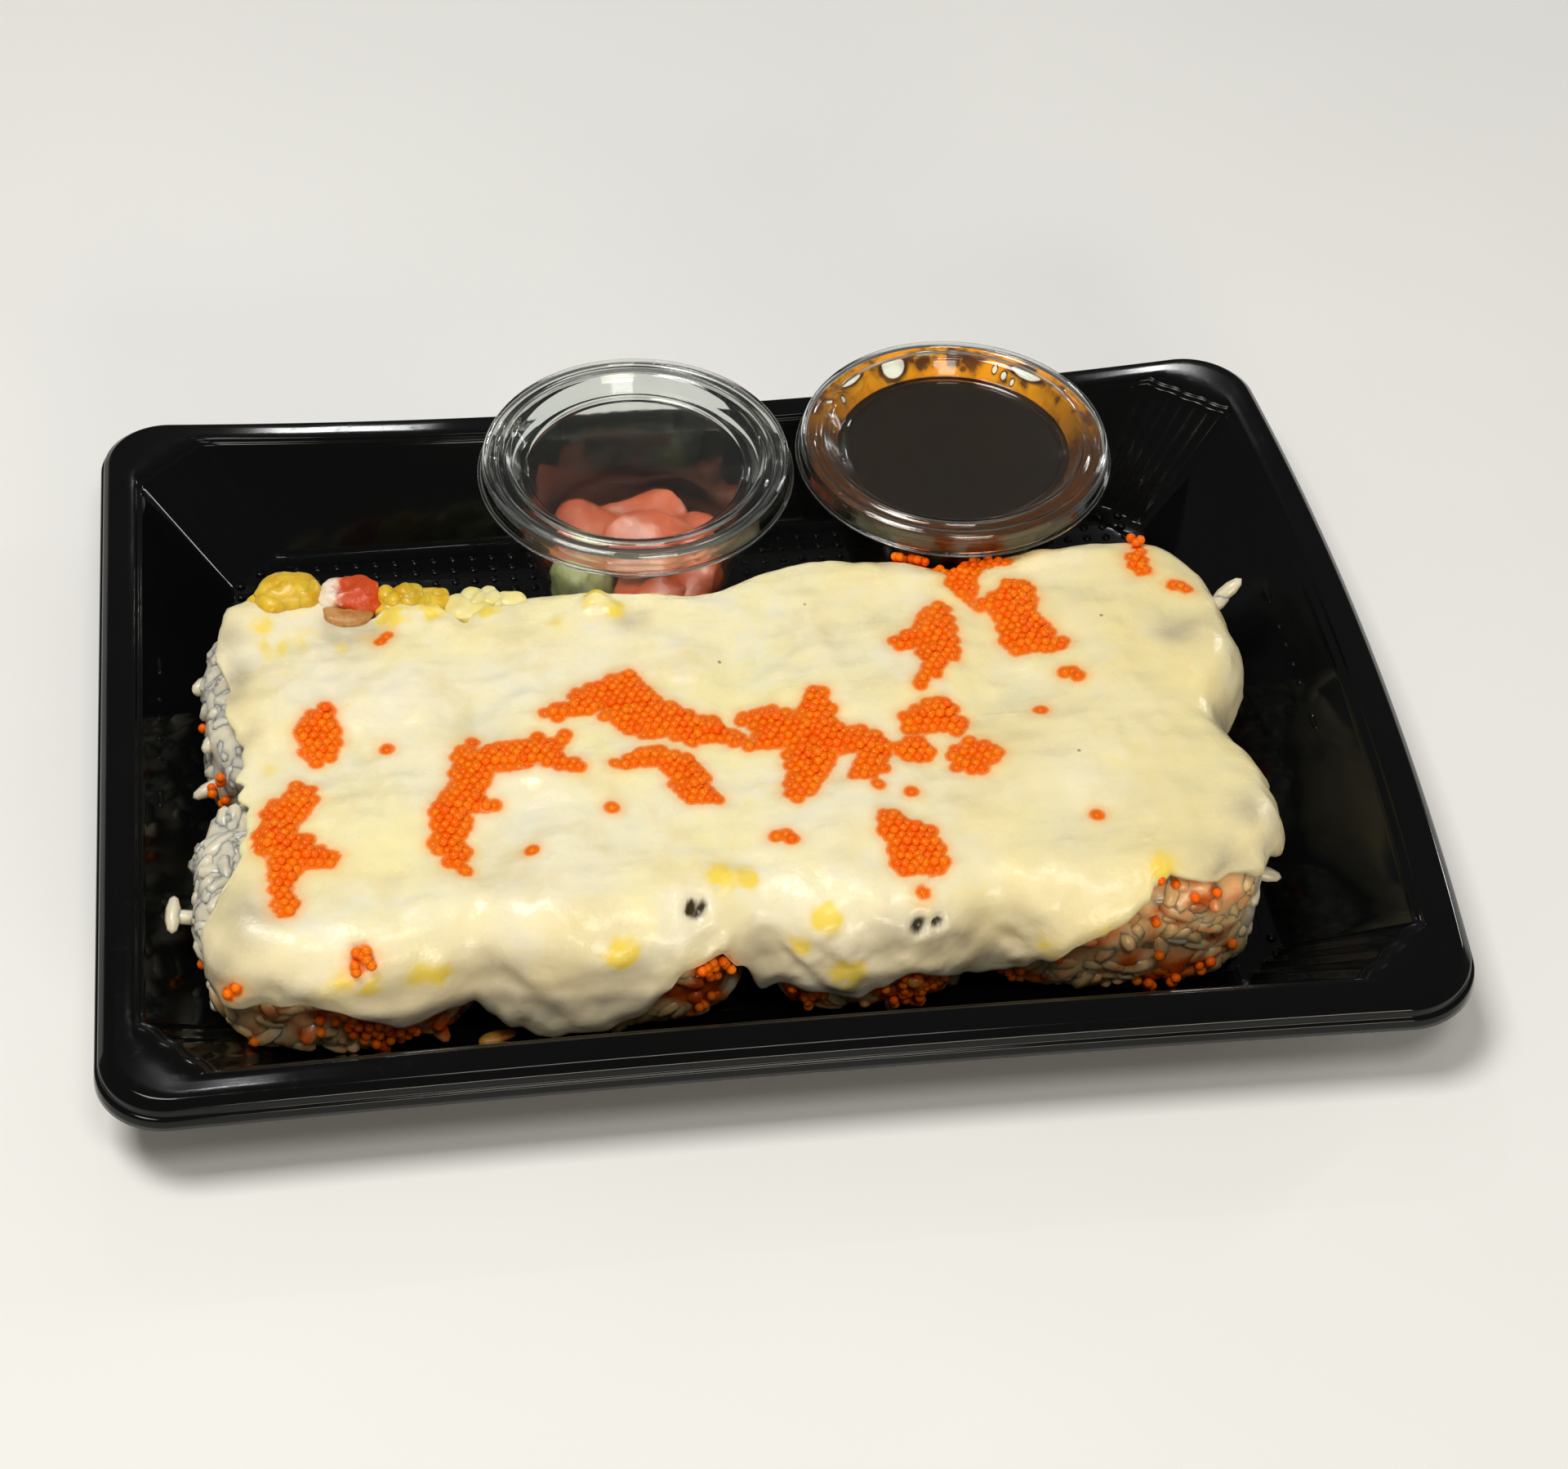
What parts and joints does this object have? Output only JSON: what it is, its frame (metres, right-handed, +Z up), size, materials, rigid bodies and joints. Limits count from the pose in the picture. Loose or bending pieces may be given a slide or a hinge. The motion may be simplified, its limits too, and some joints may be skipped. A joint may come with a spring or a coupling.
{
  "type": "takeaway sushi tray",
  "caption": "Black takeaway tray of rice rolls under a melted cheese sheet with roe, beside lidded clear cups of dark sauce and pickled ginger.",
  "frame": {"origin": "on the surface the tray stands on, under the middle of the tray", "axes": "+X along the tray's length to the right, +Y towards the edge with the cups, +Z up"},
  "size_m": [0.1846, 0.1372, 0.031],
  "materials": {
    "black_plastic": "glossy thermoformed black plastic",
    "clear_plastic": "thin clear plastic",
    "rice": "moist cooked rice",
    "cheese": "melted cheese with a soft sheen",
    "egg": "cooked egg",
    "crab": "moist crab stick",
    "shrimp": "moist shrimp",
    "ginger": "wet pickled ginger",
    "paste": "smooth green paste",
    "sauce": "dark liquid"
  },
  "bodies": {
    "root": {"tray": "black_plastic", "cup_left": "clear_plastic", "cup_right": "clear_plastic", "lid_left": "clear_plastic", "lid_right": "clear_plastic", "soy_sauce": "sauce", "ginger": "ginger", "green_paste": "paste", "roll_front_1": "rice", "roll_front_2": "rice", "roll_front_3": "rice", "roll_front_4": "rice", "roll_back_1": "rice", "roll_back_2": "rice", "roll_back_3": "rice", "roll_back_4": "rice", "cheese": "cheese", "egg_chunk": "egg", "egg_crumble": "egg", "crab_stick": "crab", "shrimp_piece": "shrimp"}
  },
  "joints": []
}
